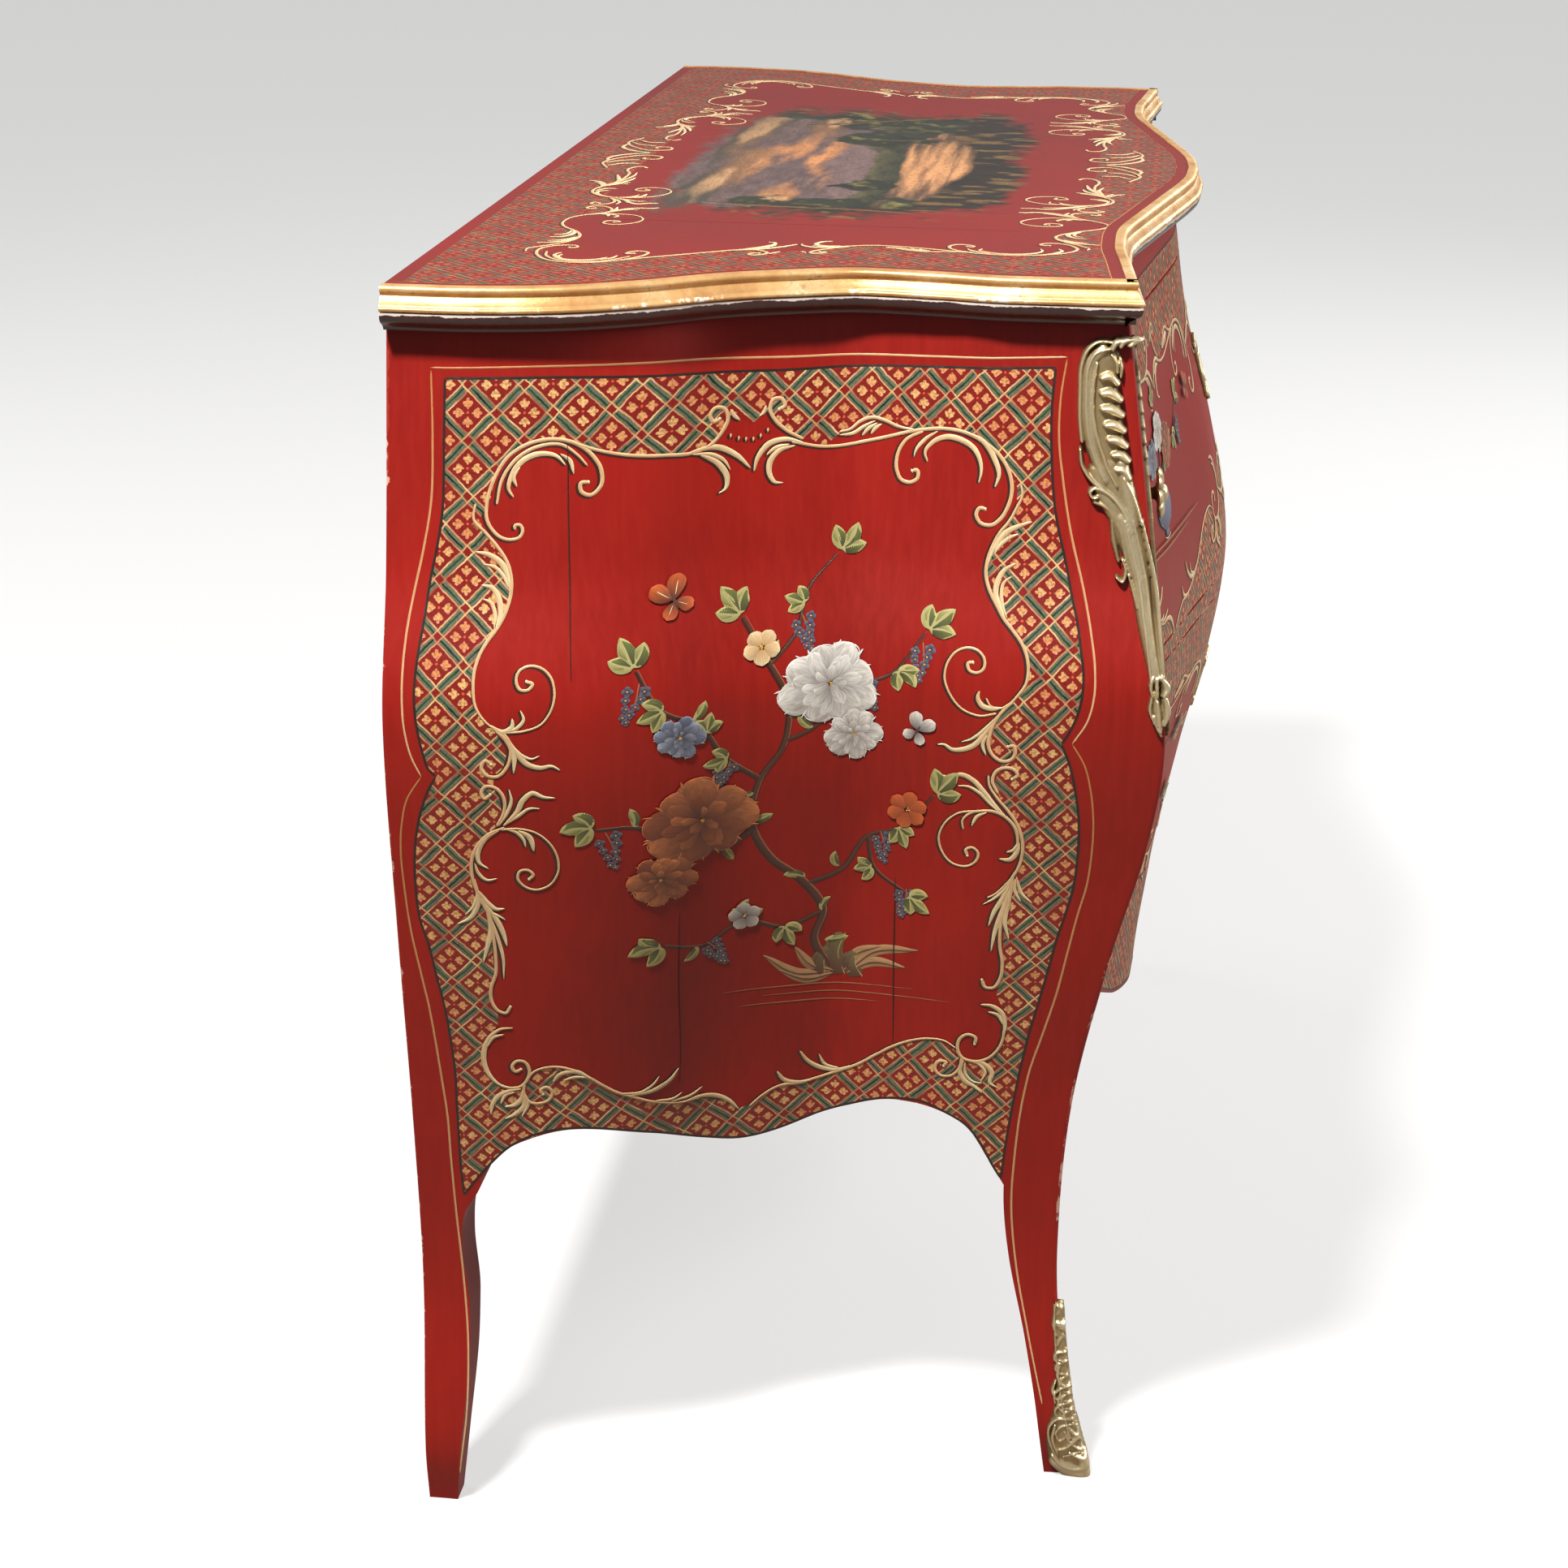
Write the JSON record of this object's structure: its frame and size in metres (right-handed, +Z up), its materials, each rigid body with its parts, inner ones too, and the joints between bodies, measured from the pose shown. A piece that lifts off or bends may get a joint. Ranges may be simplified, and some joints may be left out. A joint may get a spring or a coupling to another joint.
{
  "type": "commode chest",
  "caption": "Bombé commode with a serpentine front, lacquered panels, two long drawers, gilt moulded top edge and cast brass mounts on cabriole legs.",
  "frame": {"origin": "centre of the footprint box on the floor", "axes": "+X along the width, -Y the way the drawers open, +Z up"},
  "size_m": [1.272, 0.5408, 0.88],
  "materials": {
    "red_lacquer": "glossy red lacquer with painted borders",
    "dark_lacquer": "glossy dark maroon lacquer",
    "gilt_wood": "burnished gilding, worn at the edges",
    "cast_brass": "aged cast brass, polished on its high points",
    "carcass_wood": "plain unpainted softwood",
    "iron": "dull iron"
  },
  "bodies": {
    "carcass": {"front_post_left": "red_lacquer", "rear_post_left": "red_lacquer", "front_post_right": "red_lacquer", "rear_post_right": "red_lacquer", "side_panel_left": "red_lacquer", "side_panel_right": "red_lacquer", "front_apron": "red_lacquer", "drawer_divider_rail": "red_lacquer", "front_top_rail": "red_lacquer", "rear_bottom_rail": "carcass_wood", "rear_top_rail": "carcass_wood", "back_board_1": "carcass_wood", "back_board_2": "carcass_wood", "back_board_3": "carcass_wood", "bottom_board": "carcass_wood", "dust_board": "carcass_wood", "lower_runner_left": "carcass_wood", "lower_runner_right": "carcass_wood", "lower_drawer_stop": "carcass_wood", "upper_runner_left": "carcass_wood", "upper_runner_right": "carcass_wood", "upper_drawer_stop": "carcass_wood", "kicker_left": "carcass_wood", "kicker_right": "carcass_wood", "top_board": "red_lacquer", "gilt_moulding_left": "gilt_wood", "lower_moulding_left": "dark_lacquer", "gilt_moulding_front": "gilt_wood", "lower_moulding_front": "dark_lacquer", "gilt_moulding_right": "gilt_wood", "lower_moulding_right": "dark_lacquer", "corner_mount_left": "cast_brass", "foot_mount_left": "cast_brass", "corner_mount_right": "cast_brass", "foot_mount_right": "cast_brass"},
    "lower_drawer": {"lower_drawer_front": "red_lacquer", "lower_drawer_side_left": "carcass_wood", "lower_drawer_side_right": "carcass_wood", "lower_drawer_back": "carcass_wood", "lower_drawer_bottom": "carcass_wood", "lower_knob_left": "cast_brass", "lower_knob_nut_left": "iron", "lower_knob_right": "cast_brass", "lower_knob_nut_right": "iron", "lower_lock_case": "iron", "lower_escutcheon": "cast_brass"},
    "lower_lock_bolt": {"lower_lock_bolt": "iron"},
    "upper_drawer": {"upper_drawer_front": "red_lacquer", "upper_drawer_side_left": "carcass_wood", "upper_drawer_side_right": "carcass_wood", "upper_drawer_back": "carcass_wood", "upper_drawer_bottom": "carcass_wood", "upper_knob_left": "cast_brass", "upper_knob_nut_left": "iron", "upper_knob_right": "cast_brass", "upper_knob_nut_right": "iron", "upper_lock_case": "iron", "upper_escutcheon": "cast_brass"},
    "upper_lock_bolt": {"upper_lock_bolt": "iron"}
  },
  "joints": [
    {"name": "lower_drawer_slide", "type": "slide", "parent": "carcass", "child": "lower_drawer", "axis": [0, -1, 0], "range_m": [0, 0.3]},
    {"name": "upper_drawer_slide", "type": "slide", "parent": "carcass", "child": "upper_drawer", "axis": [0, -1, 0], "range_m": [0, 0.3]},
    {"name": "lower_lock_bolt_slide", "type": "slide", "parent": "lower_drawer", "child": "lower_lock_bolt", "axis": [0, 0, 1], "range_m": [0, 0.008]},
    {"name": "upper_lock_bolt_slide", "type": "slide", "parent": "upper_drawer", "child": "upper_lock_bolt", "axis": [0, 0, 1], "range_m": [0, 0.008]}
  ]
}
